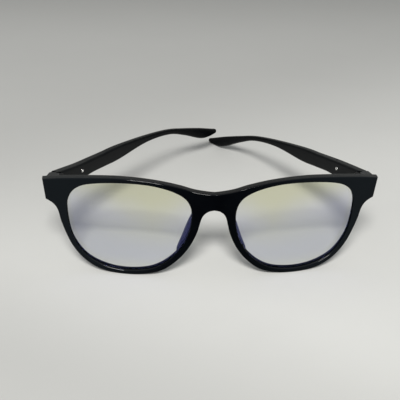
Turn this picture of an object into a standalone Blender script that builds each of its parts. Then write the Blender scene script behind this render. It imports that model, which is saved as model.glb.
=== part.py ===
"""Blue light glasses: a moulded front with two lenses and two folding temples on screw hinges.

Metres, +Z up, wearer's face on +Y, the lower rims and the right temple tip stand on z = 0.
Work is done in millimetres in helper space and scaled once, in `add_object`.
Helper space has its origin at the middle of the front face; `PLACE_Y` moves it so that the
bounding box is centred.  "right" is the +X side, "left" the -X side.
"""

import math

import bmesh
import bpy
from mathutils import Matrix, Vector

MM = 0.001
GAP = 0.3                       # clearance between two pieces that touch, mm

# Front
HALF_WIDTH = 70.0               # centre to the outer corner
FACE_RADIUS = 220.0             # the face curves around the head with this radius
FRONT_DEPTH = 3.6               # thickness of the front, front to back
EDGE_RADIUS = 0.55              # rounding of the front's edges
BRIDGE_PROUD = 1.6              # the bridge stands this far before the curve
BRIDGE_SPREAD = 9.0             # half width of that swelling
BEND_STEP = 5.0                 # width of the flat strips that make up the bent front
PLACE_Y = -71.47                # front face to the centre of the bounding box

# Half outlines, as (sideways, up)
TOP_EDGE = [(0, 39.4), (8, 40.2), (14, 41.7), (22, 43.3), (30, 44.2), (39, 44.5),
            (48, 44.0), (56.5, 43.1), (63.3, 42.2), (HALF_WIDTH, 40.9)]
LOWER_EDGE = [(68.9, 32.0), (65.9, 30.3), (64.0, 27.5), (62.4, 21.3), (58.8, 12.4), (54.0, 6.1),
              (47.8, 2.0), (39.8, 0.2), (30.7, 0.2), (21.6, 2.3), (15.1, 7.2), (10.2, 13.6),
              (6.9, 21.0), (4.9, 28.6), (2.6, 31.4), (0, 32.2)]
OPENING = [(60.0, 28.2), (58.9, 35.0), (55.0, 39.3), (48.0, 41.4), (37.0, 42.4), (26.0, 41.9),
           (16.6, 39.4), (10.9, 35.4), (9.1, 28.8), (10.8, 18.8), (15.7, 10.2), (24.0, 3.9),
           (34.4, 2.0), (44.4, 3.3), (52.8, 7.9), (58.2, 16.5)]

# Lenses
LENS_THICKNESS = 1.6
LENS_BITE = 1.0                 # how far a lens edge reaches into its groove

# End pieces (lugs) and hinges
AXIS_X = 62.8                   # hinge pin from the middle of the front
AXIS_Y = 18.0
LUG_ROOT_Y = 11.8               # where a lug grows out of the back of the front
LUG_REAR = AXIS_Y - 0.1
LUG_OUTER = 67.7
LUG_INNER = 63.2
LUG_TOP = 41.0
LUG_BOTTOM = 30.4
LUG_CHAMFER = 1.2               # corner cut along the lug's lower outer edge
LUG_ROOT = [(LUG_INNER, 42.0), (69.6, 40.75), (68.5, 32.1), (66.4, 31.0), (LUG_INNER, LUG_BOTTOM)]
LUG_END = [(LUG_INNER, LUG_TOP), (LUG_OUTER, LUG_TOP), (LUG_OUTER, LUG_BOTTOM + LUG_CHAMFER),
           (LUG_OUTER - LUG_CHAMFER, LUG_BOTTOM), (LUG_INNER, LUG_BOTTOM)]
BARREL_RADIUS = 1.6
BARREL_BOTTOM = 31.0
BARREL_TOP = 39.0
MIDDLE_KNUCKLE = (33.6, 36.4)   # the temple's knuckle
SCREW_RADIUS = 0.65
SCREW_HEAD_RADIUS = 1.25
SCREW_HEAD_HEIGHT = 0.6
SCREW_SLOT_WIDTH = 0.4
SCREW_SLOT_DEPTH = 0.25
SCREW_END = BARREL_BOTTOM + 0.2  # the shank stops just inside the lower knuckle
LEAF_INNER = -0.9               # front leaf, sideways from the axis
LEAF_OUTER = 0.1
LEAF_LENGTH = 5.4
RIVET_RADIUS = 0.5
RIVET_HEAD = (1.0, 0.5)         # radius and thickness
RIVET_HEIGHTS = (32.8, 37.2)
RIVET_BACK = 3.8                # rivets, forward of the axis
RIVET_TIP = LUG_OUTER - 1.6     # where a rivet ends in the lug
RIVET_HOLE_END = LUG_OUTER - 1.2

# Temples, measured in their own frame: `along` from the hinge, `out` away from the head
TEMPLE_LENGTH = 134.8
TEMPLE_CORNER = 1.0             # rounding of a temple's long edges
TEMPLE_ROUND_LENGTH = 0.7       # the last, smaller ring that rounds a temple's tip
TEMPLE_ROUND_INSET = 0.5
TEMPLE_INNER = 0.6              # inner face from the axis, at the hinge
TEMPLE_START = 0.25
TEMPLE_HEIGHTS = [(0, 30.4, 40.5), (12, 30.0, 38.2), (25, 28.8, 35.6), (37, 26.4, 33.1),
                  (50, 23.9, 30.6), (74, 21.4, 24.8), (94, 16.6, 19.3), (108, 10.2, 14.0),
                  (122, 2.5, 8.1), (129, 0.4, 4.7), (TEMPLE_LENGTH, 0.1, 2.6)]
TEMPLE_THICKNESS = [(0, 4.2), (20, 4.2), (60, 3.2), (95, 2.8), (TEMPLE_LENGTH, 2.8)]
TEMPLE_BOW = (5.8, 7.6)         # square and cube parts of the inward bow at the tip
LEFT_SPREAD_START = 18.0        # the left temple is bent up from here on
LEFT_SPREAD_ANGLE = 5.4
FOLD_RIGHT = 16.9               # how far each temple is folded from straight back, degrees
FOLD_LEFT = 28.9

# The leaf inside each temple and its pin
TAIL_OUT = (2.2, 3.2)
TAIL_ALONG = (1.5, 21.5)
TAIL_HEIGHTS = (32.2, 36.2)
LINK_ALONG = (0.4, 1.3)         # the strip from the middle knuckle to the tail
LINK_END = 4.0
PIN_ALONG = 18.0
PIN_HEIGHT = 33.9
PIN_RADIUS = 0.7
PIN_PROUD = 0.25
PIN_END = 3.7                   # where the pin stops inside the temple, outwards

# Nose pads
PAD_PATH = [(7.7, 28.0), (9.1, 22.4), (11.2, 16.2), (14.3, 10.2)]
PAD_DEPTH = 4.8
PAD_SPLAY = 0.2                 # the back edge stands this much further from the nose
PAD_THICKNESS = 2.8
PAD_TIP_SIZE = 0.25             # size of a pad's end sections against its middle

CUT_TOP = 45.0                  # cutters that open upwards reach this high

# How finely round outlines are cut
BARREL_STEPS = 20
ARC_STEPS = 18
ROD_STEPS = 16
RIVET_STEPS = 12
PAD_STEPS = 12


def clear_scene():
    """Remove what the new file starts with."""
    for item in list(bpy.data.objects):
        bpy.data.objects.remove(item, do_unlink=True)


def material(name, colour, metallic, roughness, transmission=0.0):
    """A Principled material for one kind of stuff."""
    result = bpy.data.materials.new(name)
    result.use_nodes = True
    shader = result.node_tree.nodes["Principled BSDF"]
    shader.inputs["Base Color"].default_value = (*colour, 1.0)
    shader.inputs["Metallic"].default_value = metallic
    shader.inputs["Roughness"].default_value = roughness
    shader.inputs["Transmission Weight"].default_value = transmission
    return result


# ---------------------------------------------------------------- curves

def smooth_path(points, steps, closed=False):
    """Points on a Catmull-Rom curve through `points`, `steps` to each stretch."""
    count = len(points)
    stretches = count if closed else count - 1
    path = []
    for i in range(stretches):
        before = points[i - 1] if closed or i > 0 else points[0]
        start = points[i]
        end = points[(i + 1) % count]
        after = points[(i + 2) % count] if closed or i + 2 < count else points[-1]
        for k in range(steps):
            path.append(spline_point(before, start, end, after, k / steps))
    if not closed:
        path.append(tuple(points[-1]))
    return path


def spline_point(before, start, end, after, t):
    """One point of a Catmull-Rom stretch, t from 0 at `start` to 1 at `end`."""
    point = []
    for a, b, c, d in zip(before, start, end, after):
        point.append(0.5 * (2 * b + (c - a) * t + (2 * a - 5 * b + 4 * c - d) * t ** 2
                            + (3 * b - a - 3 * c + d) * t ** 3))
    return tuple(point)


def offset_loop(loop, distance):
    """The closed anticlockwise loop moved outwards by `distance`."""
    moved = []
    for i, (x, z) in enumerate(loop):
        ahead = loop[(i + 1) % len(loop)]
        behind = loop[i - 1]
        tangent = Vector((ahead[0] - behind[0], ahead[1] - behind[1])).normalized()
        moved.append((x + tangent.y * distance, z - tangent.x * distance))
    return moved


def value_at(table, along, column=1):
    """Linear reading of a table whose first column is `along`."""
    for low, high in zip(table, table[1:]):
        if along <= high[0]:
            part = (along - low[0]) / (high[0] - low[0])
            return low[column] + part * (high[column] - low[column])
    return table[-1][column]


def face_curve(x):
    """How far back the front face lies at a distance x from the middle."""
    return x * x / (2 * FACE_RADIUS)


# ---------------------------------------------------------------- solids

def add_object(name, bm, origin, surface):
    """Make one closed, outward-facing object from millimetre geometry about `origin`."""
    place = Vector((origin[0], origin[1] + PLACE_Y, origin[2])) * MM
    bmesh.ops.translate(bm, vec=-Vector(origin), verts=bm.verts)
    bmesh.ops.scale(bm, vec=(MM, MM, MM), verts=bm.verts)
    bmesh.ops.recalc_face_normals(bm, faces=bm.faces)
    mesh = bpy.data.meshes.new(name)
    bm.to_mesh(mesh)
    bm.free()
    result = bpy.data.objects.new(name, mesh)
    bpy.context.scene.collection.objects.link(result)
    result.location = place
    mesh.materials.append(surface)
    return result


def prism(outline, low, high):
    """A straight solid: an (x, y) outline raised from `low` to `high`."""
    return loft([[(x, y, low) for x, y in outline], [(x, y, high) for x, y in outline]])


def loft(rings):
    """A solid skin over rings of equal length, closed at both ends."""
    bm = bmesh.new()
    rows = [[bm.verts.new(point) for point in ring] for ring in rings]
    count = len(rows[0])
    for near, far in zip(rows, rows[1:]):
        for i in range(count):
            j = (i + 1) % count
            bm.faces.new((near[i], near[j], far[j], far[i]))
    bm.faces.new(rows[0][::-1])
    bm.faces.new(rows[-1])
    bmesh.ops.recalc_face_normals(bm, faces=bm.faces)
    return bm


def box(x, y, z):
    """A block from pairs of limits."""
    return prism([(x[0], y[0]), (x[1], y[0]), (x[1], y[1]), (x[0], y[1])], z[0], z[1])


def disc(radius, steps, centre=(0.0, 0.0)):
    """A round outline."""
    turn = 2 * math.pi / steps
    return [(centre[0] + radius * math.cos(i * turn), centre[1] + radius * math.sin(i * turn))
            for i in range(steps)]


def rod(start, length, radius, steps=ROD_STEPS):
    """A round bar along +X from `start`."""
    bm = prism(disc(radius, steps), 0.0, length)
    bm.transform(Matrix.Translation(start) @ Matrix.Rotation(math.pi / 2, 4, "Y"))
    return bm


def combine(base, others, operation):
    """Join the other solids to `base`, or cut them from it."""
    body = helper_object("body", base)
    for other in others:
        tool = helper_object("tool", other)
        tool.hide_render = True
        tool.display_type = "WIRE"
        modifier = body.modifiers.new("combine", "BOOLEAN")
        modifier.operation = operation
        modifier.solver = "EXACT"
        modifier.object = tool
        result = bmesh.new()
        result.from_mesh(evaluated_mesh(body))
        bmesh.ops.remove_doubles(result, verts=result.verts, dist=0.0005)
        body.modifiers.clear()
        result.to_mesh(body.data)
        result.free()
        bpy.data.objects.remove(tool, do_unlink=True)
    joined = bmesh.new()
    joined.from_mesh(body.data)
    bpy.data.objects.remove(body, do_unlink=True)
    return joined


def helper_object(name, bm):
    """A passing object for one step of the work."""
    mesh = bpy.data.meshes.new(name)
    bm.to_mesh(mesh)
    bm.free()
    result = bpy.data.objects.new(name, mesh)
    bpy.context.scene.collection.objects.link(result)
    return result


def evaluated_mesh(item):
    """The object's mesh with its modifiers applied."""
    graph = bpy.context.evaluated_depsgraph_get()
    return bpy.data.meshes.new_from_object(item.evaluated_get(graph))


def shade_round(item, angle=35):
    """Smooth shading, with edges sharper than `angle` degrees kept."""
    item.data.shade_smooth()
    item.data.set_sharp_from_angle(angle=math.radians(angle))


# ---------------------------------------------------------------- front

def rounded_plate(outer, holes, thickness, radius):
    """A flat plate in x and z with holes, its edges rounded, front face at y = 0."""
    curve = bpy.data.curves.new("outline", "CURVE")
    curve.dimensions = "2D"
    curve.fill_mode = "BOTH"
    curve.extrude = thickness / 2 - radius
    curve.bevel_depth = radius
    curve.bevel_resolution = 1
    curve.offset = -radius
    for loop in [outer] + holes:
        spline = curve.splines.new("POLY")
        spline.points.add(len(loop) - 1)
        for point, (x, z) in zip(spline.points, loop):
            point.co = (x, z, 0.0, 1.0)
        spline.use_cyclic_u = True
    item = bpy.data.objects.new("outline", curve)
    bpy.context.scene.collection.objects.link(item)
    bm = bmesh.new()
    bm.from_mesh(evaluated_mesh(item))
    bpy.data.objects.remove(item, do_unlink=True)
    bmesh.ops.remove_doubles(bm, verts=bm.verts, dist=0.002)
    for vert in bm.verts:
        x, z, depth = vert.co
        vert.co = (x, thickness / 2 - depth, z)
    bmesh.ops.recalc_face_normals(bm, faces=bm.faces)
    return bm


def bend_front(bm):
    """Cut the plate into upright strips and wrap it around the face."""
    strips = int(HALF_WIDTH / BEND_STEP)
    for i in range(1 - strips, strips):
        geometry = bm.verts[:] + bm.edges[:] + bm.faces[:]
        bmesh.ops.bisect_plane(bm, geom=geometry, dist=0.001, plane_co=(i * BEND_STEP, 0, 0),
                               plane_no=(1, 0, 0))
    for vert in bm.verts:
        vert.co.y += face_curve(vert.co.x)


def swell_bridge(bm):
    """Bring the bridge forward of the curve, fading out into the rims."""
    for vert in bm.verts:
        vert.co.y -= BRIDGE_PROUD * math.exp(-(vert.co.x / BRIDGE_SPREAD) ** 2)


def front_outline():
    """The whole outer edge of the front, anticlockwise."""
    top = smooth_path(TOP_EDGE, 3)
    lower = smooth_path(LOWER_EDGE, 3)
    right = lower[::-1] + top[::-1]
    left = [(-x, z) for x, z in right[::-1]]
    return right[1:] + left[1:-1] + [right[0]]


def opening_outline(side):
    """The edge of one lens opening, anticlockwise."""
    loop = smooth_path(OPENING, 3, closed=True)
    return [(side * x, z) for x, z in loop[::side]]


def lens_body(side, margin, clearance):
    """A curved plate that fills one opening and reaches `margin` into the rim."""
    loop = offset_loop(opening_outline(side), margin)
    half = LENS_THICKNESS / 2 + clearance
    middle = FRONT_DEPTH / 2
    bm = loft([[(x, middle - half, z) for x, z in loop], [(x, middle + half, z) for x, z in loop]])
    bend_front(bm)
    swell_bridge(bm)
    return bm


def lug_body(side):
    """The end piece behind one outer corner of the front."""
    return loft([[(side * x, LUG_ROOT_Y, z) for x, z in LUG_ROOT],
                 [(side * x, LUG_REAR, z) for x, z in LUG_END]])


def hinge_notch(side, radius):
    """The round recess that gives a hinge barrel room."""
    outline = disc(radius, BARREL_STEPS, (side * AXIS_X, AXIS_Y))
    return prism(outline, BARREL_BOTTOM - GAP, CUT_TOP)


def rivet_rods(side, radius, inner, outer):
    """Bars along X at the two rivets of a front leaf."""
    start = min(side * inner, side * outer)
    return [rod((start, AXIS_Y - RIVET_BACK, height), abs(outer - inner), radius, RIVET_STEPS)
            for height in RIVET_HEIGHTS]


def build_front(surface):
    """The one-piece front: rims, bridge and end pieces."""
    holes = [opening_outline(1), opening_outline(-1)]
    plate = rounded_plate(front_outline(), holes, FRONT_DEPTH, EDGE_RADIUS)
    bend_front(plate)
    swell_bridge(plate)
    solid = combine(plate, [lug_body(1), lug_body(-1)], "UNION")
    cutters = []
    for side in (1, -1):
        cutters.append(lens_body(side, LENS_BITE + GAP, GAP))
        cutters.append(hinge_notch(side, BARREL_RADIUS + GAP))
        cutters += rivet_rods(side, RIVET_RADIUS + GAP, AXIS_X - 1.0, RIVET_HOLE_END)
    solid = combine(solid, cutters, "DIFFERENCE")
    item = add_object("front_frame", solid, (0, 0, 0), surface)
    shade_round(item)


# ---------------------------------------------------------------- small parts of the front

def build_lens(side, name, surface):
    """One lens, held in the groove of its rim."""
    item = add_object(name, lens_body(side, LENS_BITE, 0.0), (0, 0, 0), surface)
    shade_round(item)


def pad_ring(side, point, direction, size):
    """One cross-section of a nose pad, behind the rim at `point`."""
    start = FRONT_DEPTH + GAP + face_curve(point[0])
    depth = PAD_DEPTH * size
    half = PAD_THICKNESS / 2 * size
    ring = []
    for i in range(PAD_STEPS):
        turn = 2 * math.pi * i / PAD_STEPS
        back = (1 - math.cos(turn)) / 2
        sideways = half * math.sin(turn) + PAD_SPLAY * size * back ** 1.5
        ring.append((side * (point[0] + direction.y * sideways), start + depth * back,
                     point[1] - direction.x * sideways))
    return ring


def build_nose_pad(side, name, surface):
    """A nose pad: a fin behind the nasal rim, splayed to the slope of the nose."""
    path = smooth_path(PAD_PATH, 4)
    rings = []
    for i, point in enumerate(path):
        ahead = path[min(i + 1, len(path) - 1)]
        behind = path[max(i - 1, 0)]
        direction = Vector((behind[0] - ahead[0], behind[1] - ahead[1])).normalized()
        fullness = math.sin(math.pi * (i + 0.5) / len(path)) ** 0.6
        size = PAD_TIP_SIZE + (1 - PAD_TIP_SIZE) * fullness
        rings.append(pad_ring(side, point, direction, size))
    item = add_object(name, loft(rings), (0, 0, 0), surface)
    shade_round(item, 60)


# ---------------------------------------------------------------- hinges

def barrel_arc(first, last):
    """Points on a barrel's edge from angle `first` to `last`, about its own axis."""
    angles = [first + (last - first) * i / ARC_STEPS for i in range(ARC_STEPS + 1)]
    return [(BARREL_RADIUS * math.cos(angle), BARREL_RADIUS * math.sin(angle))
            for angle in angles]


def knuckle_outline(side, first, last, others):
    """A barrel's edge around the axis, from angle `first` to `last`, then the leaf's corners."""
    outline = barrel_arc(first, last)
    return [(side * (AXIS_X + x), AXIS_Y + y) for x, y in outline + others]


def build_front_leaf(side, name, surface):
    """The hinge leaf on the end piece: a plate with an upper and a lower knuckle."""
    first = -math.acos(LEAF_OUTER / BARREL_RADIUS)
    last = 2 * math.pi - math.acos(LEAF_INNER / BARREL_RADIUS)
    foot = [(LEAF_INNER, -LEAF_LENGTH), (LEAF_OUTER, -LEAF_LENGTH)]
    outline = knuckle_outline(side, first, last, foot)
    lower = prism(outline, BARREL_BOTTOM, MIDDLE_KNUCKLE[0] - GAP)
    upper = prism(outline, MIDDLE_KNUCKLE[1] + GAP, BARREL_TOP)
    sides = sorted((side * (AXIS_X + LEAF_INNER), side * (AXIS_X + LEAF_OUTER)))
    plate = box(sides, (AXIS_Y - LEAF_LENGTH, AXIS_Y - BARREL_RADIUS - 2 * GAP),
                (BARREL_BOTTOM, BARREL_TOP))
    solid = combine(plate, [lower, upper], "UNION")
    bore = prism(disc(SCREW_RADIUS + GAP, ROD_STEPS, (side * AXIS_X, AXIS_Y)),
                 BARREL_BOTTOM - 1, BARREL_TOP + 1)
    holes = rivet_rods(side, RIVET_RADIUS + GAP, AXIS_X - 2.0, AXIS_X + 1.0)
    solid = combine(solid, [bore] + holes, "DIFFERENCE")
    item = add_object(name, solid, (side * AXIS_X, AXIS_Y, 0), surface)
    shade_round(item)


def build_screw(side, name, surface):
    """The hinge screw: a slotted head on a plain shank."""
    centre = (side * AXIS_X, AXIS_Y)
    seat = BARREL_TOP + GAP
    top = seat + SCREW_HEAD_HEIGHT
    shank = prism(disc(SCREW_RADIUS, ROD_STEPS, centre), SCREW_END,
                  seat + SCREW_HEAD_HEIGHT / 2)
    head = prism(disc(SCREW_HEAD_RADIUS, BARREL_STEPS, centre), seat, top)
    slot = box((centre[0] - 2, centre[0] + 2),
               (AXIS_Y - SCREW_SLOT_WIDTH / 2, AXIS_Y + SCREW_SLOT_WIDTH / 2),
               (top - SCREW_SLOT_DEPTH, top + 1))
    solid = combine(combine(head, [shank], "UNION"), [slot], "DIFFERENCE")
    item = add_object(name, solid, (*centre, 0), surface)
    shade_round(item)


def build_rivet(side, height, name, surface):
    """One of the two rivets that hold a front leaf to its end piece."""
    head = AXIS_X + LEAF_INNER - GAP - RIVET_HEAD[1]
    depth = AXIS_Y - RIVET_BACK
    shank_start = min(side * head, side * RIVET_TIP)
    head_start = min(side * head, side * (head + RIVET_HEAD[1]))
    shank = rod((shank_start, depth, height), RIVET_TIP - head, RIVET_RADIUS, RIVET_STEPS)
    cap = rod((head_start, depth, height), RIVET_HEAD[1], RIVET_HEAD[0], RIVET_STEPS)
    item = add_object(name, combine(cap, [shank], "UNION"), (side * AXIS_X, AXIS_Y, 0), surface)
    shade_round(item)


# ---------------------------------------------------------------- temples

def fold_matrix(side):
    """Takes a temple's own frame (out, along, up) to its folded place about the hinge."""
    angle = FOLD_RIGHT if side > 0 else -FOLD_LEFT
    return Matrix.Translation((side * AXIS_X, AXIS_Y, 0)) @ Matrix.Rotation(
        math.radians(angle), 4, "Z") @ Matrix.Diagonal((side, 1, 1, 1))


def temple_lift(side, along):
    """How far the bent-up left temple has risen at `along`."""
    if side > 0 or along < LEFT_SPREAD_START:
        return 0.0
    return (along - LEFT_SPREAD_START) * math.tan(math.radians(LEFT_SPREAD_ANGLE))


def temple_bow(along):
    """How far the temple has curved in towards the head at `along`."""
    part = along / TEMPLE_LENGTH
    return TEMPLE_BOW[0] * part ** 2 + TEMPLE_BOW[1] * part ** 3


def temple_ring(side, along, low, high, shrink=0.0):
    """A rounded rectangular cross-section at `along`."""
    inner = TEMPLE_INNER - temple_bow(along) + shrink
    outer = inner + value_at(TEMPLE_THICKNESS, along) - 2 * shrink
    rise = temple_lift(side, along)
    low = low + rise + shrink
    high = high + rise - shrink
    radius = min(TEMPLE_CORNER, (outer - inner) / 2 - 0.2, (high - low) / 2 - 0.2)
    ring = []
    for x, z, start in ((outer, high, 0), (inner, high, 90), (inner, low, 180), (outer, low, 270)):
        centre_x = x - math.copysign(radius, x - (inner + outer) / 2)
        centre_z = z - math.copysign(radius, z - (low + high) / 2)
        for k in range(4):
            angle = math.radians(start + 30 * k)
            ring.append((centre_x + radius * math.cos(angle), along,
                         centre_z + radius * math.sin(angle)))
    return ring


def build_temple(side, name, surface):
    """One temple, hollowed at its front end for the hinge leaf."""
    profile = smooth_path(TEMPLE_HEIGHTS, 3)
    profile[0] = (TEMPLE_START, profile[0][1], profile[0][2])
    rings = [temple_ring(side, *row) for row in profile]
    last = profile[-1]
    rings.append(temple_ring(side, last[0] + TEMPLE_ROUND_LENGTH, last[1], last[2],
                             TEMPLE_ROUND_INSET))
    solid = loft(rings)
    cutters = [prism(disc(BARREL_RADIUS + GAP, BARREL_STEPS), BARREL_BOTTOM - GAP, CUT_TOP)]
    cutters.append(box((1.0, TAIL_OUT[1] + GAP), (-1.0, 2.0),
                       (TAIL_HEIGHTS[0] - GAP, MIDDLE_KNUCKLE[1] + GAP)))
    cutters.append(box((TAIL_OUT[0] - GAP, TAIL_OUT[1] + GAP), (1.0, TAIL_ALONG[1] + GAP),
                       (TAIL_HEIGHTS[0] - GAP, TAIL_HEIGHTS[1] + GAP)))
    cutters.append(rod((-1.0, PIN_ALONG, PIN_HEIGHT), 5.0, PIN_RADIUS + GAP))
    solid = combine(solid, cutters, "DIFFERENCE")
    solid.transform(fold_matrix(side))
    item = add_object(name, solid, (side * AXIS_X, AXIS_Y, 0), surface)
    shade_round(item)


def build_temple_leaf(side, name, surface):
    """The hinge leaf inside a temple: the middle knuckle and a long tail."""
    start = math.asin(LINK_ALONG[1] / BARREL_RADIUS)
    end = math.asin(LINK_ALONG[0] / BARREL_RADIUS) + 2 * math.pi
    outline = barrel_arc(start, end) + [(TAIL_OUT[1], LINK_ALONG[0]), (TAIL_OUT[1], LINK_END),
                                        (TAIL_OUT[0], LINK_END), (TAIL_OUT[0], LINK_ALONG[1])]
    knuckle = prism(outline, *MIDDLE_KNUCKLE)
    tail = box(TAIL_OUT, TAIL_ALONG, TAIL_HEIGHTS)
    solid = combine(knuckle, [tail], "UNION")
    bore = prism(disc(SCREW_RADIUS + GAP, ROD_STEPS), BARREL_BOTTOM, BARREL_TOP)
    hole = rod((0.0, PIN_ALONG, PIN_HEIGHT), 5.0, PIN_RADIUS + GAP)
    solid = combine(solid, [bore, hole], "DIFFERENCE")
    solid.transform(fold_matrix(side))
    item = add_object(name, solid, (side * AXIS_X, AXIS_Y, 0), surface)
    shade_round(item)


def build_pin(side, name, surface):
    """The polished pin that holds the leaf's tail in the temple, its head just proud."""
    start = TEMPLE_INNER - temple_bow(PIN_ALONG) - PIN_PROUD
    solid = rod((start, PIN_ALONG, PIN_HEIGHT), PIN_END - start, PIN_RADIUS)
    solid.transform(fold_matrix(side))
    item = add_object(name, solid, (side * AXIS_X, AXIS_Y, 0), surface)
    shade_round(item)


def main():
    clear_scene()
    gloss = material("gloss_black", (0.008, 0.009, 0.012), 0.0, 0.12)
    satin = material("satin_black", (0.012, 0.014, 0.018), 0.0, 0.38)
    clear = material("clear_lens", (0.97, 0.98, 0.95), 0.0, 0.02, 1.0)
    rubber = material("pad_black", (0.010, 0.010, 0.014), 0.0, 0.30)
    steel = material("steel", (0.62, 0.62, 0.62), 1.0, 0.25)
    build_front(gloss)
    for side, word in ((1, "right"), (-1, "left")):
        build_lens(side, f"{word}_lens", clear)
        build_nose_pad(side, f"{word}_nose_pad", rubber)
        build_front_leaf(side, f"{word}_front_leaf", steel)
        for height, level in zip(RIVET_HEIGHTS, ("lower", "upper")):
            build_rivet(side, height, f"{word}_{level}_rivet", steel)
        build_screw(side, f"{word}_hinge_screw", steel)
        build_temple(side, f"{word}_temple", satin)
        build_temple_leaf(side, f"{word}_temple_leaf", steel)
        build_pin(side, f"{word}_temple_pin", steel)


main()
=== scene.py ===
"""Blue light glasses: gloss black front, clear coated lenses and two satin temples.

Every sub-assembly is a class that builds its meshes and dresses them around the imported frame.
Sizes are in millimetres in the maker's own axes: x across, y back towards the ears, z up, with
the origin in the middle of the front's face.  `Workshop` turns them into metres in the frame.
"""

from __future__ import annotations

import logging
import math
from dataclasses import dataclass, field
from enum import Enum

import bmesh
import bpy
from mathutils import Matrix, Vector

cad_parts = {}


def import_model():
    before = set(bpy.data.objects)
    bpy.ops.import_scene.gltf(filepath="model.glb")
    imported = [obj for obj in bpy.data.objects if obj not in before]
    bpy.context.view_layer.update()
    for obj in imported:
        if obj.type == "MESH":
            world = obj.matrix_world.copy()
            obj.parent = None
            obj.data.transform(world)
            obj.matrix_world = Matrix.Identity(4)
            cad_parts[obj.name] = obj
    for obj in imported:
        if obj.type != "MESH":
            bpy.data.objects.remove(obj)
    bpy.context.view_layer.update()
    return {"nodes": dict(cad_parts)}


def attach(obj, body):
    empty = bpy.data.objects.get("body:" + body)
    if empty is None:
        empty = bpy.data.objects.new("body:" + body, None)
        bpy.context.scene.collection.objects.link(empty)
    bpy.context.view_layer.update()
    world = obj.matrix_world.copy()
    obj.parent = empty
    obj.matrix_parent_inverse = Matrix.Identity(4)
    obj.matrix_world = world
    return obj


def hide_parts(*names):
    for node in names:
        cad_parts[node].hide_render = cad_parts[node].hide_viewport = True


LOG = logging.getLogger("glasses")
MM = 0.001
GAP = 0.3
PLACE_Y = -71.47

Point = tuple[float, ...]
Colour = tuple[float, float, float]


class Side(Enum):
    """The wearer's two sides: right is +X."""

    RIGHT = 1
    LEFT = -1

    @property
    def word(self) -> str:
        """The side's name as node names have it."""
        return self.name.lower()


class Cut(Enum):
    """How one solid meets another."""

    JOIN = "UNION"
    REMOVE = "DIFFERENCE"


# ------------------------------------------------------------------ shader sums


class Sum:
    """One socket in a sum of nodes: Python operators add the Math nodes."""

    def __init__(self, bench: "Bench", socket: bpy.types.NodeSocket) -> None:
        """Wrap a socket of the material that `bench` is making."""
        self.bench = bench
        self.socket = socket

    def _math(self, operation: str, *values: "Sum | float") -> "Sum":
        """Add one Math node."""
        return self.bench.node("ShaderNodeMath", {"operation": operation}, dict(enumerate(values)))

    def __add__(self, other: "Sum | float") -> "Sum":
        """Sum of two values."""
        return self._math("ADD", self, other)

    def __radd__(self, other: float) -> "Sum":
        """Sum with the number first."""
        return self._math("ADD", other, self)

    def __sub__(self, other: "Sum | float") -> "Sum":
        """Difference of two values."""
        return self._math("SUBTRACT", self, other)

    def __rsub__(self, other: float) -> "Sum":
        """Difference with the number first."""
        return self._math("SUBTRACT", other, self)

    def __mul__(self, other: "Sum | float") -> "Sum":
        """Product of two values."""
        return self._math("MULTIPLY", self, other)

    def __rmul__(self, other: float) -> "Sum":
        """Product with the number first."""
        return self._math("MULTIPLY", other, self)

    def __neg__(self) -> "Sum":
        """The value with its sign turned round."""
        return self._math("SUBTRACT", 0.0, self)

    def __abs__(self) -> "Sum":
        """The value without its sign."""
        return self.bench.node("ShaderNodeMath", {"operation": "ABSOLUTE"}, {0: self})

    def step(self, low: float, high: float) -> "Sum":
        """Smooth step from 0 at `low` to 1 at `high`."""
        settings = {"interpolation_type": "SMOOTHSTEP"}
        return self.bench.node("ShaderNodeMapRange", settings,
                               {"Value": self, "From Min": low, "From Max": high})


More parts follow.
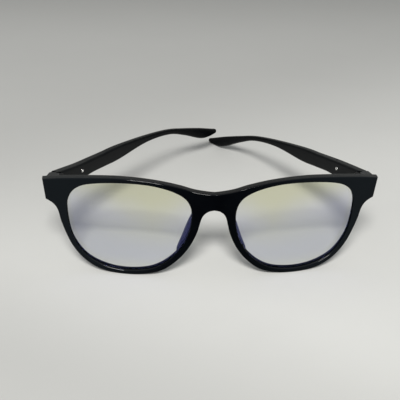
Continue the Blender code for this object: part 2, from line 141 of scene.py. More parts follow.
class Bench:
    """The node tree of one material."""

    def __init__(self, name: str) -> None:
        """Start an empty material called `name`."""
        self.material = bpy.data.materials.new(name)
        self.material.use_nodes = True
        self.tree = self.material.node_tree
        self.tree.nodes.clear()
        self._place: Sum | None = None

    def node(self, kind: str, settings: dict[str, object], inputs: dict[object, object],
             output: int | str = 0) -> Sum:
        """Add one node.

        Args:
            kind: the node's Blender type.
            settings: properties, set first.
            inputs: socket name or number to a value, colour or `Sum`.
            output: which output the result wraps.

        Returns:
            The chosen output, wrapped.
        """
        made = self.tree.nodes.new(kind)
        for key, value in settings.items():
            setattr(made, key, value)
        for key, value in inputs.items():
            if isinstance(value, Sum):
                self.tree.links.new(value.socket, made.inputs[key])
            else:
                made.inputs[key].default_value = value
        return Sum(self, made.outputs[output])

    def place(self) -> Sum:
        """Object coordinates in millimetres."""
        if self._place is None:
            raw = self.node("ShaderNodeTexCoord", {}, {}, "Object")
            self._place = self.node("ShaderNodeVectorMath", {"operation": "SCALE"},
                                    {0: raw, "Scale": 1 / MM})
        return self._place

    def noise(self, size: float, detail: float = 2.0, stretch: Colour = (1, 1, 1)) -> Sum:
        """Noise whose spots are about `size` millimetres wide, drawn out by `stretch`."""
        scaled = self.node("ShaderNodeVectorMath", {"operation": "DIVIDE"},
                           {0: self.place(), 1: tuple(size * s for s in stretch)})
        return self.node("ShaderNodeTexNoise", {},
                         {"Vector": scaled, "Scale": 1.0, "Detail": detail, "Roughness": 0.55})

    def axis(self, letter: str) -> Sum:
        """One of the object's own coordinates in millimetres."""
        return self.node("ShaderNodeSeparateXYZ", {}, {0: self.place()}, letter)

    def blend(self, share: Sum, first: Sum | Colour, second: Sum | Colour) -> Sum:
        """Mix two colours by `share`."""
        pair = [c if isinstance(c, Sum) else (*c, 1.0) for c in (first, second)]
        return self.node("ShaderNodeMix", {"data_type": "RGBA"},
                         {0: share, 6: pair[0], 7: pair[1]}, 2)

    def bump(self, height: Sum, depth: float) -> Sum:
        """A normal from a height between 0 and 1 that stands for `depth` millimetres."""
        return self.node("ShaderNodeBump", {},
                         {"Height": height, "Distance": depth * MM, "Strength": 1.0})

    def finish(self, surface: Sum) -> bpy.types.Material:
        """Send a shader to the output and hand over the material."""
        out = self.tree.nodes.new("ShaderNodeOutputMaterial")
        self.tree.links.new(surface.socket, out.inputs["Surface"])
        return self.material


# ------------------------------------------------------------------ finishes


@dataclass(frozen=True)
class Lacquer:
    """Moulded black plastic, polished or satin.

    The tone runs from `base`, clouded with `haze`, at `reach[0]` millimetres along the axis
    `letter` to `far` at `reach[1]`; this run is painted reflection, not a change in the plastic.
    Faces that look up carry more gloss, by `top_coat`.
    """

    name: str
    base: Colour
    haze: Colour
    roughness: float
    roughness_spread: float
    grain_size: float
    grain_depth: float
    reflect: float
    top_coat: float
    far: Colour
    letter: str
    reach: Point

    def material(self) -> bpy.types.Material:
        """The plastic: faint cloudiness, handling marks, a fine moulded skin and a painted
        reflection that runs along one axis.
        """
        bench = Bench(self.name)
        cloud = bench.noise(9.0, 3.0)
        streak = bench.noise(1.1, 2.0, (6.0, 6.0, 0.6))
        wipe = bench.noise(3.2, 4.0).step(0.55, 0.8)
        near = bench.blend(cloud.step(0.35, 0.75), self.base, self.haze)
        # Painted reflection: the clouded tone fades to `far` with distance along one axis.
        distance = abs(bench.axis(self.letter) - self.reach[0])
        base = bench.blend(distance.step(0.0, self.reach[1] - self.reach[0]), near, self.far)
        rough = self.roughness + (streak - 0.5) * self.roughness_spread + wipe * (
            self.roughness_spread * 0.6)
        skin = bench.noise(self.grain_size, 2.0)
        normal = bench.bump(skin, self.grain_depth)
        facing = bench.node("ShaderNodeTexCoord", {}, {}, "Normal")
        upward = bench.node("ShaderNodeSeparateXYZ", {}, {0: facing}, "Z")
        coat = upward.step(0.35, 0.95) * self.top_coat
        shader = bench.node("ShaderNodeBsdfPrincipled", {}, {
            "Base Color": base, "Roughness": rough, "Normal": normal, "IOR": 1.5,
            "Specular IOR Level": self.reflect, "Coat Weight": coat, "Coat Roughness": 0.08})
        return bench.finish(shader)


@dataclass(frozen=True)
class Metal:
    """Turned or stamped steel, bright or blackened."""

    name: str
    bright: Colour
    dark: Colour
    roughness: float
    metallic: float = 1.0

    def material(self) -> bpy.types.Material:
        """The steel: fine tool lines and slightly darker hollows."""
        bench = Bench(self.name)
        lines = bench.noise(0.12, 2.0, (1.0, 1.0, 12.0))
        stain = bench.noise(0.8, 3.0).step(0.4, 0.75)
        base = bench.blend(stain, self.bright, self.dark)
        rough = self.roughness + (lines - 0.5) * 0.12
        shader = bench.node("ShaderNodeBsdfPrincipled", {}, {
            "Base Color": base, "Metallic": self.metallic, "Roughness": rough,
            "Normal": bench.bump(lines, 0.01)})
        return bench.finish(shader)


@dataclass(frozen=True)
class CoatedGlass:
    """Clear lens with a blue-reflecting coat and a faint yellow cast in its upper half.  The cast
    is the coat's own, but keeping it to the upper half, with a weak mirror share there and a
    stronger one below, is painted reflection.
    """

    name: str = "coated_lens"
    cool: Colour = (0.948, 0.954, 0.944)
    warm: Colour = (0.912, 0.912, 0.800)
    mirror: Colour = (0.28, 0.31, 0.86)
    warm_middle: float = 25.0
    warm_rise: Point = (21.0, 40.0)
    rim_fade: Point = (2.0, 10.0)
    least: float = 0.012
    most: float = 0.078

    def material(self) -> bpy.types.Material:
        """The lens: see-through body, with the coat's mirror share changing over the surface as
        painted reflection.
        """
        bench = Bench(self.name)
        across = abs(bench.axis("X"))
        up = bench.axis("Z")
        cloud = bench.noise(16.0, 2.0)
        # Painted reflection: the upper zone gets the warm tint and the least mirror share, the
        # lower zone the most, weaker near the bottom rim.
        aside = abs(across - self.warm_middle)
        upper = (up + aside * -0.4 + cloud * 7.0).step(*self.warm_rise)
        smear = bench.noise(2.4, 4.0, (1.0, 1.0, 2.2)).step(0.5, 0.9)
        away = up.step(*self.rim_fade) * 0.7 + 0.3
        share = (self.most - upper * (self.most - self.least)) * away + smear * 0.006
        cool, warm = (bench.node("ShaderNodeBsdfTransparent", {}, {"Color": (*colour, 1.0)})
                      for colour in (self.cool, self.warm))
        clear = bench.node("ShaderNodeMixShader", {}, {0: upper, 1: cool, 2: warm})
        coat = bench.node("ShaderNodeBsdfGlossy", {}, {
            "Color": (*self.mirror, 1.0), "Roughness": 0.04})
        surface = bench.node("ShaderNodeMixShader", {}, {0: share, 1: clear, 2: coat})
        return bench.finish(surface)


@dataclass(frozen=True)
class PaleBoard:
    """The matt pale board under and behind the glasses.

    It dims towards `dim` over three stretches in millimetres: `behind` the glasses, `far_off`
    behind them and `before` them, each by its own of the `shares`.  This is painted shade: the
    lamp's fall-off behind and far behind the glasses and a painted shadow before them.  `lean`
    turns the first and the last of them aside, so that a painted pool of light keeps the board's
    right half the brighter one.
    """

    name: str = "pale_board"
    near: Colour = (0.780, 0.780, 0.755)
    far: Colour = (0.735, 0.735, 0.712)
    dim: Colour = (0.47, 0.47, 0.455)
    behind: Point = (-60.0, 165.0)
    far_off: Point = (250.0, 460.0)
    before: Point = (80.0, 175.0)
    shares: Point = (0.6, 0.4, 0.6)
    lean: Point = (-0.6, -0.5)

    def material(self) -> bpy.types.Material:
        """The board: a pale tone with soft clouds and a fine tooth, and painted shade in three
        stretches.
        """
        bench = Bench(self.name)
        cloud = bench.noise(60.0, 4.0).step(0.3, 0.8)
        fibre = bench.noise(0.6, 3.0)
        pale = bench.blend(cloud * 0.5 + fibre * 0.15, self.near, self.far)
        across, back = bench.axis("X"), bench.axis("Y")
        # Painted shade: fall-off of light behind and far behind the glasses, a painted shadow
        # before them, and a painted pool of light kept on the right half by `lean`.
        behind = (back + across * self.lean[0]).step(*self.behind) * self.shares[0]
        far_off = back.step(*self.far_off) * self.shares[1]
        before = (-back + across * self.lean[1]).step(*self.before) * self.shares[2]
        base = bench.blend(behind + far_off + before, pale, self.dim)
        shader = bench.node("ShaderNodeBsdfPrincipled", {}, {
            "Base Color": base, "Roughness": 0.62, "Specular IOR Level": 0.25,
            "Normal": bench.bump(fibre, 0.03)})
        return bench.finish(shader)


# The gloss front's far tone, lighter towards the outer corners than at the bridge, is painted
# reflection.
GLOSS = Lacquer("gloss_black", (0.0001, 0.0004, 0.0012), (0.0006, 0.0011, 0.0020), 0.13, 0.05,
                1.6, 0.004, 0.020, 0.9, (0.0065, 0.0084, 0.0102), "X", (0.0, 66.0))
# The satin temples are painted lighter near the hinges, fading to near black at the tips: painted
# reflection of the board.
SATIN = Lacquer("satin_black", (0.0052, 0.0062, 0.0070), (0.0072, 0.0082, 0.0090), 0.34, 0.08,
                0.22, 0.010, 0.05, 0.3, (0.0003, 0.0006, 0.0013), "Y", (-52.0, 40.0))
RUBBER = Lacquer("pad_black", (0.0012, 0.0014, 0.0024), (0.0020, 0.0022, 0.0034), 0.34, 0.06,
                 0.3, 0.008, 0.08, 0.0, (0.001, 0.001, 0.002), "Y", (-50.0, 30.0))
STEEL = Metal("polished_steel", (0.88, 0.88, 0.87), (0.70, 0.70, 0.69), 0.16)
BLACKED = Metal("blackened_steel", (0.030, 0.031, 0.033), (0.018, 0.018, 0.020), 0.32, 0.8)


# ------------------------------------------------------------------ outlines


def spline_point(before: Point, start: Point, end: Point, after: Point, t: float) -> Point:
    """One point of a Catmull-Rom stretch, t from 0 at `start` to 1 at `end`."""
    return tuple(0.5 * (2 * b + (c - a) * t + (2 * a - 5 * b + 4 * c - d) * t ** 2
                        + (3 * b - a - 3 * c + d) * t ** 3)
                 for a, b, c, d in zip(before, start, end, after))


def smooth_path(points: list[Point], steps: int, closed: bool = False) -> list[Point]:
    """Points on a Catmull-Rom curve.

    Args:
        points: the points that the curve passes through.
        steps: points made for each stretch.
        closed: whether the last point joins the first.

    Returns:
        The curve's points in order.
    """
    count = len(points)
    path: list[Point] = []
    for i in range(count if closed else count - 1):
        before = points[i - 1] if closed or i > 0 else points[0]
        after = points[(i + 2) % count] if closed or i + 2 < count else points[-1]
        for k in range(steps):
            path.append(spline_point(before, points[i], points[(i + 1) % count], after, k / steps))
    return path if closed else path + [tuple(points[-1])]


def offset_loop(loop: list[Point], distance: float) -> list[Point]:
    """The closed anticlockwise loop moved outwards by `distance`."""
    moved = []
    for i, (x, z) in enumerate(loop):
        ahead, behind = loop[(i + 1) % len(loop)], loop[i - 1]
        tangent = Vector((ahead[0] - behind[0], ahead[1] - behind[1])).normalized()
        moved.append((x + tangent.y * distance, z - tangent.x * distance))
    return moved


def value_at(table: list[Point], along: float) -> float:
    """Linear reading of a table of (along, value)."""
    for low, high in zip(table, table[1:]):
        if along <= high[0]:
            part = (along - low[0]) / (high[0] - low[0])
            return low[1] + part * (high[1] - low[1])
    return table[-1][1]


def disc(radius: float, steps: int, centre: Point = (0.0, 0.0)) -> list[Point]:
    """A round outline."""
    turn = 2 * math.pi / steps
    return [(centre[0] + radius * math.cos(i * turn), centre[1] + radius * math.sin(i * turn))
            for i in range(steps)]


def round_corners(corners: list[Point], radius: float, steps: int) -> list[Point]:
    """A convex outline with its corners turned into arcs."""
    result = []
    count = len(corners)
    for i, corner in enumerate(corners):
        here = Vector(corner)
        back = (Vector(corners[i - 1]) - here).normalized()
        forth = (Vector(corners[(i + 1) % count]) - here).normalized()
        half = math.acos(max(-1.0, min(1.0, back.dot(forth)))) / 2
        reach = radius / math.tan(half)
        start, end = here + back * reach, here + forth * reach
        middle = here + (back + forth).normalized() * (radius / math.sin(half))
        first, last = start - middle, end - middle
        for k in range(steps + 1):
            spoke = first.lerp(last, k / steps).normalized() * radius
            result.append(tuple(middle + spoke))
    return result


# ------------------------------------------------------------------ solids


def loft(rings: list[list[Point]]) -> bmesh.types.BMesh:
    """A solid skin over rings of equal length, closed at both ends."""
    bm = bmesh.new()
    rows = [[bm.verts.new(point) for point in ring] for ring in rings]
    count = len(rows[0])
    for near, far in zip(rows, rows[1:]):
        for i in range(count):
            j = (i + 1) % count
            bm.faces.new((near[i], near[j], far[j], far[i]))
    bm.faces.new(rows[0][::-1])
    bm.faces.new(rows[-1])
    bmesh.ops.recalc_face_normals(bm, faces=bm.faces)
    return bm


def prism(outline: list[Point], low: float, high: float) -> bmesh.types.BMesh:
    """An (x, y) outline raised from `low` to `high`."""
    return loft([[(x, y, low) for x, y in outline], [(x, y, high) for x, y in outline]])


def block(x: Point, y: Point, z: Point) -> bmesh.types.BMesh:
    """A block from pairs of limits."""
    return prism([(x[0], y[0]), (x[1], y[0]), (x[1], y[1]), (x[0], y[1])], z[0], z[1])


def rod(start: Point, length: float, radius: float, steps: int = 32) -> bmesh.types.BMesh:
    """A round bar along +X from `start`."""
    bm = prism(disc(radius, steps), 0.0, length)
    bm.transform(Matrix.Translation(start) @ Matrix.Rotation(math.pi / 2, 4, "Y"))
    return bm


def turned(profile: list[Point], steps: int = 40) -> bmesh.types.BMesh:
    """A round solid from (radius, height) pairs, its ends closed."""
    return loft([[(x, y, height) for x, y in disc(radius, steps)] for radius, height in profile])


def passing_object(bm: bmesh.types.BMesh) -> bpy.types.Object:
    """An object for one step of the work."""
    mesh = bpy.data.meshes.new("step")
    bm.to_mesh(mesh)
    bm.free()
    item = bpy.data.objects.new("step", mesh)
    bpy.context.scene.collection.objects.link(item)
    return item


def evaluated(item: bpy.types.Object) -> bpy.types.Mesh:
    """The object's mesh with its modifiers applied."""
    graph = bpy.context.evaluated_depsgraph_get()
    return bpy.data.meshes.new_from_object(item.evaluated_get(graph))


def combine(base: bmesh.types.BMesh, others: list[bmesh.types.BMesh],
            cut: Cut) -> bmesh.types.BMesh:
    """Join the other solids to `base`, or cut them from it."""
    body = passing_object(base)
    for other in others:
        tool = passing_object(other)
        change = body.modifiers.new("combine", "BOOLEAN")
        change.operation = cut.value
        change.solver = "EXACT"
        change.object = tool
        result = bmesh.new()
        result.from_mesh(evaluated(body))
        bmesh.ops.remove_doubles(result, verts=result.verts, dist=0.0005)
        bmesh.ops.dissolve_degenerate(result, edges=result.edges, dist=0.0005)
        body.modifiers.clear()
        result.to_mesh(body.data)
        result.free()
        bpy.data.objects.remove(tool, do_unlink=True)
    joined = bmesh.new()
    joined.from_mesh(body.data)
    bpy.data.objects.remove(body, do_unlink=True)
    return joined


class Workshop:
    """Turns millimetre solids into pieces that ride on the frame's bodies."""

    @staticmethod
    def piece(name: str, bm: bmesh.types.BMesh, body: str, stands_for: str, slot: str,
              finish: bpy.types.Material, sharp: float, weigh: bool = False) -> None:
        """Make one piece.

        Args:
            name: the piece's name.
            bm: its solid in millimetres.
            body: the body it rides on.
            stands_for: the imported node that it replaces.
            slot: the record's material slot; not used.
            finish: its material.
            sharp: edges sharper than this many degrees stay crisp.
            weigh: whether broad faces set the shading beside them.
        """
        bmesh.ops.translate(bm, vec=(0, PLACE_Y, 0), verts=bm.verts)
        bmesh.ops.scale(bm, vec=(MM, MM, MM), verts=bm.verts)
        bmesh.ops.recalc_face_normals(bm, faces=bm.faces)
        mesh = bpy.data.meshes.new(name)
        bm.to_mesh(mesh)
        bm.free()
        item = bpy.data.objects.new(name, mesh)
        bpy.context.scene.collection.objects.link(item)
        mesh.shade_smooth()
        mesh.set_sharp_from_angle(angle=math.radians(sharp))
        if weigh:
            modifier = item.modifiers.new("even shading", "WEIGHTED_NORMAL")
            modifier.keep_sharp = True
            modifier.weight = 50
        mesh.materials.append(finish)
        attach(item, body)
        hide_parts(stands_for)
        LOG.info("%s: %d faces on %s", name, len(mesh.polygons), body)


# ------------------------------------------------------------------ the front


@dataclass
class FrontShape:
    """The outlines and curves of the front, shared by rims, lenses and pads."""

    half_width: float = 70.0
    face_radius: float = 220.0
    depth: float = 3.6
    edge_radius: float = 0.6
    bridge_proud: float = 1.6
    bridge_spread: float = 9.0
    strip: float = 1.0
    steps: int = 12
    top_edge: list[Point] = field(default_factory=lambda: [
        (0, 39.4), (8, 40.2), (14, 41.7), (22, 43.3), (30, 44.2), (39, 44.5), (48, 44.0),
        (56.5, 43.1), (63.3, 42.2), (70.0, 40.9)])
    lower_edge: list[Point] = field(default_factory=lambda: [
        (68.9, 32.0), (65.9, 30.3), (64.0, 27.5), (62.4, 21.3), (58.8, 12.4), (54.0, 6.1),
        (47.8, 2.0), (39.8, 0.2), (30.7, 0.2), (21.6, 2.3), (15.1, 7.2), (10.2, 13.6),
        (6.9, 21.0), (4.9, 28.6), (2.6, 31.4), (0, 32.2)])
    opening: list[Point] = field(default_factory=lambda: [
        (60.0, 28.2), (58.9, 35.0), (55.0, 39.3), (48.0, 41.4), (37.0, 42.4), (26.0, 41.9),
        (16.6, 39.4), (10.9, 35.4), (9.1, 28.8), (10.8, 18.8), (15.7, 10.2), (24.0, 3.9),
        (34.4, 2.0), (44.4, 3.3), (52.8, 7.9), (58.2, 16.5)])

    def face_curve(self, x: float) -> float:
        """How far back the front's face lies at `x`."""
        return x * x / (2 * self.face_radius)

    def outer_loop(self) -> list[Point]:
        """The whole outer edge, anticlockwise."""
        top = smooth_path(self.top_edge, self.steps)
        lower = smooth_path(self.lower_edge, self.steps)
        right = lower[::-1] + top[::-1]
        left = [(-x, z) for x, z in right[::-1]]
        return right[1:] + left[1:-1] + [right[0]]

    def opening_loop(self, side: Side) -> list[Point]:
        """The edge of one lens opening, anticlockwise."""
        loop = smooth_path(self.opening, self.steps, closed=True)
        return [(side.value * x, z) for x, z in loop[::side.value]]

    def bend(self, bm: bmesh.types.BMesh) -> None:
        """Cut a flat solid into upright strips, wrap it around the face and swell the bridge."""
        strips = int(self.half_width / self.strip)
        for i in range(1 - strips, strips):
            geometry = bm.verts[:] + bm.edges[:] + bm.faces[:]
            bmesh.ops.bisect_plane(bm, geom=geometry, dist=0.0005,
                                   plane_co=(i * self.strip, 0, 0), plane_no=(1, 0, 0))
        self.wrap(bm)

    def wrap(self, bm: bmesh.types.BMesh) -> None:
        """Move every point back by the face curve and forward by the bridge's swelling."""
        for vert in bm.verts:
            swell = math.exp(-(vert.co.x / self.bridge_spread) ** 2)
            vert.co.y += self.face_curve(vert.co.x) - self.bridge_proud * swell


@dataclass
class HingeShape:
    """Places and sizes of the hinge, shared by the front, the leaves and the temples."""

    axis_x: float = 62.8
    axis_y: float = 18.0
    radius: float = 1.6
    bottom: float = 31.0
    top: float = 39.0
    middle: Point = (33.6, 36.4)
    screw_radius: float = 0.65
    head_radius: float = 1.25
    head_height: float = 0.6
    cut_top: float = 45.0
    fold: dict[Side, float] = field(default_factory=lambda: {Side.RIGHT: 16.9, Side.LEFT: 28.9})

    def folded(self, side: Side) -> Matrix:
        """Takes a temple's own axes (out, along, up) to its place about the hinge."""
        angle = math.radians(self.fold[side]) * side.value
        return (Matrix.Translation((side.value * self.axis_x, self.axis_y, 0))
                @ Matrix.Rotation(angle, 4, "Z") @ Matrix.Diagonal((side.value, 1, 1, 1)))


@dataclass
class FrontFrame:
    """The moulded front: two rims, the bridge and an end piece at each corner."""

    shape: FrontShape
    hinge: HingeShape
    lug_root_y: float = 11.8
    lug_rear: float = 17.9
    lug_round: float = 0.55
    lug_root: list[Point] = field(default_factory=lambda: [
        (63.2, 30.4), (66.4, 31.0), (68.5, 32.1), (69.6, 40.75), (63.2, 42.0)])
    lug_end: list[Point] = field(default_factory=lambda: [
        (63.2, 30.4), (66.5, 30.4), (67.7, 31.6), (67.7, 41.0), (63.2, 41.0)])
    lug_middle: Point = (65.5, 35.7)
    groove_depth: float = 1.3
    groove_half: float = 1.1
    rivet_radius: float = 0.8
    rivet_back: float = 3.8
    rivet_end: float = 66.5
    rivet_heights: Point = (32.8, 37.2)

    def plate(self) -> bmesh.types.BMesh:
        """The flat front with its two openings, its edges rounded."""
        shape = self.shape
        curve = bpy.data.curves.new("outline", "CURVE")
        curve.dimensions = "2D"
        curve.fill_mode = "BOTH"
        curve.extrude = shape.depth / 2 - shape.edge_radius
        curve.bevel_depth = shape.edge_radius
        curve.bevel_resolution = 4
        curve.offset = -shape.edge_radius
        for loop in (shape.outer_loop(), shape.opening_loop(Side.RIGHT),
                     shape.opening_loop(Side.LEFT)):
            spline = curve.splines.new("POLY")
            spline.points.add(len(loop) - 1)
            for point, (x, z) in zip(spline.points, loop):
                point.co = (x, z, 0.0, 1.0)
            spline.use_cyclic_u = True
        item = bpy.data.objects.new("outline", curve)
        bpy.context.scene.collection.objects.link(item)
        bm = bmesh.new()
        bm.from_mesh(evaluated(item))
        bpy.data.objects.remove(item, do_unlink=True)
        bmesh.ops.remove_doubles(bm, verts=bm.verts, dist=0.002)
        for vert in bm.verts:
            x, z, depth = vert.co
            vert.co = (x, shape.depth / 2 - depth, z)
        bmesh.ops.recalc_face_normals(bm, faces=bm.faces)
        return bm

    def lug(self, side: Side) -> bmesh.types.BMesh:
        """The end piece behind one outer corner, its long edges rounded."""
        root, end = (round_corners(corners, self.lug_round, 6)
                     for corners in (self.lug_root, self.lug_end))
        middle_x, middle_z = self.lug_middle
        inset = [(x + (middle_x - x) * 0.05, z + (middle_z - z) * 0.03) for x, z in end]
        rows = ((root, self.lug_root_y), (end, self.lug_rear - 0.3), (inset, self.lug_rear))
        return loft([[(side.value * x, y, z) for x, z in ring] for ring, y in rows])

    def groove(self, side: Side) -> bmesh.types.BMesh:
        """What is cut away for the edge of one lens."""
        loop = offset_loop(self.shape.opening_loop(side), self.groove_depth)
        middle = self.shape.depth / 2
        bm = loft([[(x, middle - self.groove_half, z) for x, z in loop],
                   [(x, middle + self.groove_half, z) for x, z in loop]])
        self.shape.bend(bm)
        return bm

    def hinge_cuts(self, side: Side) -> list[bmesh.types.BMesh]:
        """The barrel's recess and the two rivet holes of one end piece."""
        hinge = self.hinge
        centre = (side.value * hinge.axis_x, hinge.axis_y)
        cuts = [prism(disc(hinge.radius + GAP, 48, centre), hinge.bottom - GAP, hinge.cut_top)]
        first, last = side.value * (hinge.axis_x - 1.0), side.value * self.rivet_end
        for height in self.rivet_heights:
            start = (min(first, last), hinge.axis_y - self.rivet_back, height)
            cuts.append(rod(start, abs(last - first), self.rivet_radius))
        return cuts

    def build(self) -> None:
        """Make the front and put it in place."""
        plate = self.plate()
        self.shape.bend(plate)
        solid = combine(plate, [self.lug(Side.RIGHT), self.lug(Side.LEFT)], Cut.JOIN)
        cutters = [self.groove(side) for side in Side]
        for side in Side:
            cutters += self.hinge_cuts(side)
        solid = combine(solid, cutters, Cut.REMOVE)
        Workshop.piece("front", solid, "front", "front_frame", "gloss_black",
                       GLOSS.material(), 32.0, weigh=True)


@dataclass
class Lenses:
    """The two clear lenses, crowned a little and held in the rims' grooves."""

    shape: FrontShape
    bite: float = 0.95
    thickness: float = 1.6
    crown: float = 1.3
    rings: int = 26
    middle: Point = (35.0, 23.0)

    def solid(self, side: Side) -> bmesh.types.BMesh:
        """One lens as two crowned skins joined around the edge."""
        loop = offset_loop(self.shape.opening_loop(side), self.bite)
        centre = (side.value * self.middle[0], self.middle[1])
        bm = bmesh.new()
        skins = []
        for offset in (-self.thickness / 2, self.thickness / 2):
            rows = []
            for k in range(self.rings, 0, -1):
                share = k / self.rings
                lift = self.crown * (1 - share ** 2)
                y = self.shape.depth / 2 + offset - lift
                rows.append([bm.verts.new((centre[0] + (x - centre[0]) * share, y,
                                           centre[1] + (z - centre[1]) * share))
                             for x, z in loop])
            hub = bm.verts.new((centre[0], self.shape.depth / 2 + offset - self.crown, centre[1]))
            skins.append((rows, hub))
        count = len(loop)
        for rows, hub in skins:
            for near, far in zip(rows, rows[1:]):
                for i in range(count):
                    j = (i + 1) % count
                    bm.faces.new((near[i], near[j], far[j], far[i]))
            for i in range(count):
                bm.faces.new((rows[-1][i], rows[-1][(i + 1) % count], hub))
        front, back = skins[0][0][0], skins[1][0][0]
        for i in range(count):
            j = (i + 1) % count
            bm.faces.new((front[i], front[j], back[j], back[i]))
        self.shape.wrap(bm)
        return bm

    def build(self) -> None:
        """Make both lenses."""
        glass = CoatedGlass().material()
        for side in Side:
            Workshop.piece(f"{side.word}_clear_lens", self.solid(side), "front",
                           f"{side.word}_lens", "clear_lens", glass, 40.0)


@dataclass
class NosePads:
    """The two soft-edged fins behind the nasal rims."""

    shape: FrontShape
    path: list[Point] = field(default_factory=lambda: [
        (7.7, 28.0), (9.1, 22.4), (11.2, 16.2), (14.3, 10.2)])
    depth: float = 4.8
    splay: float = 0.2
    thickness: float = 2.8
    tip_size: float = 0.25
    steps: int = 14
    round_steps: int = 32

    def ring(self, point: Point, direction: Vector, size: float, side: Side) -> list[Point]:
        """One section of a pad, behind the rim at `point`."""
        start = self.shape.depth + GAP + self.shape.face_curve(point[0])
        ring = []
        for i in range(self.round_steps):
            turn = 2 * math.pi * i / self.round_steps
            back = (1 - math.cos(turn)) / 2
            sideways = (self.thickness / 2 * size * math.sin(turn)
                        + self.splay * size * back ** 1.5)
            ring.append((side.value * (point[0] + direction.y * sideways),
                         start + self.depth * size * back, point[1] - direction.x * sideways))
        return ring

    def solid(self, side: Side) -> bmesh.types.BMesh:
        """One pad, full in the middle and fading out at both ends."""
        path = smooth_path(self.path, self.steps)
        rings = []
        for i, point in enumerate(path):
            ahead, behind = path[min(i + 1, len(path) - 1)], path[max(i - 1, 0)]
            direction = Vector((behind[0] - ahead[0], behind[1] - ahead[1])).normalized()
            fullness = math.sin(math.pi * (i + 0.5) / len(path)) ** 0.6
            rings.append(self.ring(point, direction, self.tip_size
                                   + (1 - self.tip_size) * fullness, side))
        return loft(rings)

    def build(self) -> None:
        """Make both pads."""
        rubber = RUBBER.material()
        for side in Side:
            Workshop.piece(f"{side.word}_pad", self.solid(side), "front",
                           f"{side.word}_nose_pad", "pad_black", rubber, 70.0)


# ------------------------------------------------------------------ hinges


@dataclass
class Hinges:
    """Leaves, screws and rivets of the two hinges."""

    hinge: HingeShape
    bevel: float = 0.06

    def dress_leaves(self, nodes: dict[str, bpy.types.Object]) -> None:
        """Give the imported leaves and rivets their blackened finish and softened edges.

        Args:
            nodes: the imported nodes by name.
        """
        black = BLACKED.material()
        kinds = ("front_leaf", "temple_leaf", "lower_rivet", "upper_rivet")
        for side in Side:
            for kind in kinds:
                item = nodes[f"{side.word}_{kind}"]
                item.data.materials.clear()
                item.data.materials.append(black)
                self.soften(item)

    def soften(self, item: bpy.types.Object) -> None:
        """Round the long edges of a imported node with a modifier."""
        bevel = item.modifiers.new("soft edges", "BEVEL")
        bevel.width = self.bevel * MM
        bevel.segments = 2
        bevel.limit_method = "ANGLE"
        bevel.angle_limit = math.radians(40)

    def screw(self, side: Side) -> bmesh.types.BMesh:
        """A slotted screw with a slightly domed head."""
        hinge = self.hinge
        seat = hinge.top + GAP
        head, radius = seat + hinge.head_height, hinge.head_radius
        profile = [(hinge.screw_radius - 0.12, hinge.bottom + 0.2),
                   (hinge.screw_radius, hinge.bottom + 0.35), (hinge.screw_radius, seat),
                   (radius - 0.1, seat), (radius, seat + 0.1), (radius, head - 0.22),
                   (radius - 0.12, head - 0.07), (radius - 0.45, head - 0.01), (0.1, head)]
        body = turned(profile)
        slot = block((-2.0, 2.0), (-0.2, 0.2), (head - 0.25, head + 1.0))
        solid = combine(body, [slot], Cut.REMOVE)
        solid.transform(Matrix.Translation((side.value * hinge.axis_x, hinge.axis_y, 0)))
        return solid

    def build(self, nodes: dict[str, bpy.types.Object]) -> None:
        """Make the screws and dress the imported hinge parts."""
        self.dress_leaves(nodes)
        black = BLACKED.material()
        for side in Side:
            Workshop.piece(f"{side.word}_screw", self.screw(side), "front",
                           f"{side.word}_hinge_screw", "hinge_steel", black, 35.0)


# ------------------------------------------------------------------ temples


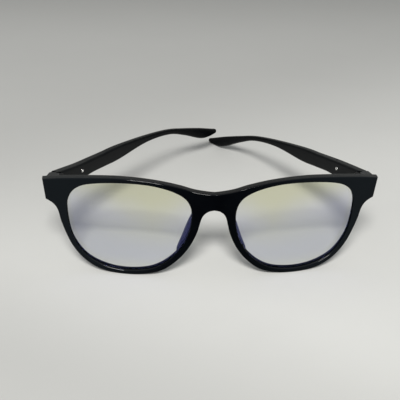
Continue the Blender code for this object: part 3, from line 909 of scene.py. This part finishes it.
@dataclass
class Temples:
    """The two arms, with the pin that holds each hinge leaf."""

    hinge: HingeShape
    length: float = 134.8
    inner_start: float = 0.6
    start: float = 0.25
    corner: float = 1.0
    heights: list[Point] = field(default_factory=lambda: [
        (0, 30.4, 40.5), (12, 30.0, 38.2), (25, 28.8, 35.6), (37, 26.4, 33.1), (50, 23.9, 30.6),
        (74, 21.4, 24.8), (94, 16.6, 19.3), (108, 10.2, 14.0), (122, 2.5, 8.3), (129, 0.4, 5.2),
        (134.8, 0.1, 2.6)])
    thickness: list[Point] = field(default_factory=lambda: [
        (0, 4.2), (20, 4.2), (60, 3.2), (95, 2.8), (134.8, 2.8)])
    bow: Point = (5.8, 7.6)
    left_lift_start: float = 18.0
    left_lift_angle: float = 5.4
    left_lift_round: float = 6.0
    steps: int = 10
    arc_steps: int = 7
    tip_rings: int = 6
    tip_length: float = 0.9
    tip_inset: float = 0.95
    tail_out: Point = (2.2, 3.2)
    tail_end: float = 21.5
    tail_heights: Point = (32.2, 36.2)
    pin_along: float = 18.0
    pin_height: float = 33.9
    pin_radius: float = 0.7
    pin_head: float = 0.74

    def inner(self, along: float) -> float:
        """Where the inner face lies at `along`, bowed in towards the head."""
        part = along / self.length
        return self.inner_start - self.bow[0] * part ** 2 - self.bow[1] * part ** 3

    def lift(self, side: Side, along: float) -> float:
        """How far the bent-up left temple has risen at `along`."""
        reach = along - self.left_lift_start
        if side is Side.RIGHT or reach < -self.left_lift_round:
            return 0.0
        if reach < self.left_lift_round:
            reach = (reach + self.left_lift_round) ** 2 / (4 * self.left_lift_round)
        return reach * math.tan(math.radians(self.left_lift_angle))

    def ring(self, side: Side, along: float, low: float, high: float,
             shrink: float = 0.0) -> list[Point]:
        """A rectangular cross-section with rounded corners."""
        inner = self.inner(along) + shrink
        outer = self.inner(along) + value_at(self.thickness, along) - shrink
        rise = self.lift(side, along)
        low, high = low + rise + shrink, high + rise - shrink
        radius = min(self.corner, (outer - inner) / 2 - 0.12, (high - low) / 2 - 0.12)
        corners = [(outer, low), (outer, high), (inner, high), (inner, low)]
        flat = round_corners(corners, radius, self.arc_steps)
        return [(x, along, z) for x, z in flat]

    def solid(self, side: Side) -> bmesh.types.BMesh:
        """One temple, hollowed at its front end for the hinge leaf."""
        rows = smooth_path(self.heights, self.steps)
        rows[0] = (self.start, rows[0][1], rows[0][2])
        rings = [self.ring(side, *row) for row in rows]
        along, low, high = rows[-1]
        for k in range(1, self.tip_rings + 1):
            turn = math.pi / 2 * k / (self.tip_rings + 0.6)
            rings.append(self.ring(side, along + self.tip_length * math.sin(turn), low, high,
                                   self.tip_inset * (1 - math.cos(turn))))
        body = loft(rings)
        hinge = self.hinge
        cutters = [prism(disc(hinge.radius + GAP, 48), hinge.bottom - GAP, hinge.cut_top),
                   block((1.0, self.tail_out[1] + GAP), (-1.0, 2.0),
                         (self.tail_heights[0] - GAP, hinge.middle[1] + GAP)),
                   block((self.tail_out[0] - GAP, self.tail_out[1] + GAP),
                         (1.0, self.tail_end + GAP),
                         (self.tail_heights[0] - GAP, self.tail_heights[1] + GAP)),
                   rod((-1.0, self.pin_along, self.pin_height), 5.0, self.pin_radius + 0.12)]
        solid = combine(body, cutters, Cut.REMOVE)
        solid.transform(hinge.folded(side))
        return solid

    def pin(self, side: Side) -> bmesh.types.BMesh:
        """The polished pin with a domed head just proud of the temple."""
        radius, head = self.pin_radius, self.pin_head
        face = self.inner(self.pin_along)
        profile = [(0.08, face - 0.32), (head * 0.45, face - 0.29), (head * 0.78, face - 0.2),
                   (head * 0.96, face - 0.06), (head, face + 0.02), (radius, face + 0.04),
                   (radius, 3.6), (radius - 0.1, 3.7)]
        solid = turned(profile)
        solid.transform(Matrix.Translation((0, self.pin_along, self.pin_height))
                        @ Matrix.Rotation(math.pi / 2, 4, "Y"))
        solid.transform(self.hinge.folded(side))
        return solid

    def build(self) -> None:
        """Make both temples and their pins."""
        satin, steel = SATIN.material(), STEEL.material()
        for side in Side:
            body = f"{side.word}_temple"
            Workshop.piece(f"{side.word}_arm", self.solid(side), body, body, "satin_black",
                           satin, 35.0)
            Workshop.piece(f"{side.word}_pin", self.pin(side), body, f"{body}_pin",
                           "polished_steel", steel, 50.0)


# ------------------------------------------------------------------ studio


@dataclass
class Studio:
    """The pale board, the soft light and the camera."""

    board_half: float = 2.6
    board_rise: float = 1.6
    bend_start: float = 0.9
    bend_radius: float = 0.6
    bend_steps: int = 12
    board_gap: float = 0.00004
    lamp_place: Point = (-0.14, -1.11, 1.04)
    lamp_aim: Point = (0.02, -0.05, 0.0)
    lamp_size: Point = (0.40, 0.32)
    lamp_power: float = 20.2
    lamp_colour: Colour = (1.0, 0.99, 0.965)
    sky_colour: Colour = (0.96, 0.985, 1.0)
    sky_strength: float = 0.32
    camera_place: Point = (-0.03642, -0.39581, 0.20197)
    turn: float = 5.36
    down: float = 26.92
    roll: float = 2.06
    focal: float = 81.18

    def board(self) -> None:
        """A floor that curves up far behind."""
        profile = [(-self.board_half, 0.0), (self.bend_start, 0.0)]
        for k in range(1, self.bend_steps + 1):
            angle = math.pi / 2 * k / self.bend_steps
            profile.append((self.bend_start + self.bend_radius * math.sin(angle),
                            self.bend_radius * (1 - math.cos(angle))))
        profile.append((self.bend_start + self.bend_radius, self.board_rise))
        bm = bmesh.new()
        rows = [[bm.verts.new((x, y, z - self.board_gap)) for y, z in profile]
                for x in (-self.board_half, self.board_half)]
        for i in range(len(profile) - 1):
            bm.faces.new((rows[0][i], rows[1][i], rows[1][i + 1], rows[0][i + 1]))
        mesh = bpy.data.meshes.new("board")
        bm.to_mesh(mesh)
        bm.free()
        mesh.shade_smooth()
        item = bpy.data.objects.new("board", mesh)
        bpy.context.scene.collection.objects.link(item)
        mesh.materials.append(PaleBoard().material())

    def lamp(self) -> None:
        """The soft rectangular lamp before the glasses."""
        light = bpy.data.lights.new("window", "AREA")
        light.shape = "RECTANGLE"
        light.size, light.size_y = self.lamp_size
        light.energy = self.lamp_power
        light.color = self.lamp_colour
        item = bpy.data.objects.new("window", light)
        item.location = self.lamp_place
        facing = Vector(self.lamp_aim) - Vector(self.lamp_place)
        item.rotation_mode = "QUATERNION"
        item.rotation_quaternion = facing.to_track_quat("-Z", "Y")
        bpy.context.scene.collection.objects.link(item)

    def sky(self) -> None:
        """An even sky, shown without a film look."""
        world = bpy.data.worlds.new("sky")
        bpy.context.scene.world = world
        world.use_nodes = True
        back = world.node_tree.nodes["Background"]
        back.inputs["Color"].default_value = (*self.sky_colour, 1.0)
        back.inputs["Strength"].default_value = self.sky_strength
        bpy.context.scene.view_settings.view_transform = "Standard"

    def camera(self) -> None:
        """The camera, before the glasses and a little above and to the left of them."""
        data = bpy.data.cameras.new("camera")
        data.lens = self.focal
        data.sensor_width = 36.0
        data.clip_start = 0.01
        item = bpy.data.objects.new("camera", data)
        item.matrix_world = (Matrix.Translation(self.camera_place)
                             @ Matrix.Rotation(-math.radians(self.turn), 4, "Z")
                             @ Matrix.Rotation(math.radians(90 - self.down), 4, "X")
                             @ Matrix.Rotation(math.radians(self.roll), 4, "Z"))
        bpy.context.scene.collection.objects.link(item)
        bpy.context.scene.camera = item

    def build(self) -> None:
        """Set up the whole studio."""
        self.board()
        self.lamp()
        self.sky()
        self.camera()


def main() -> None:
    """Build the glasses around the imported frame, then the studio."""
    logging.basicConfig(level=logging.INFO, format="%(name)s: %(message)s")
    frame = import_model()
    shape, hinge = FrontShape(), HingeShape()
    FrontFrame(shape, hinge).build()
    Lenses(shape).build()
    NosePads(shape).build()
    Hinges(hinge).build(frame["nodes"])
    Temples(hinge).build()
    Studio().build()
    bpy.context.view_layer.update()


if __name__ == "__main__":
    main()
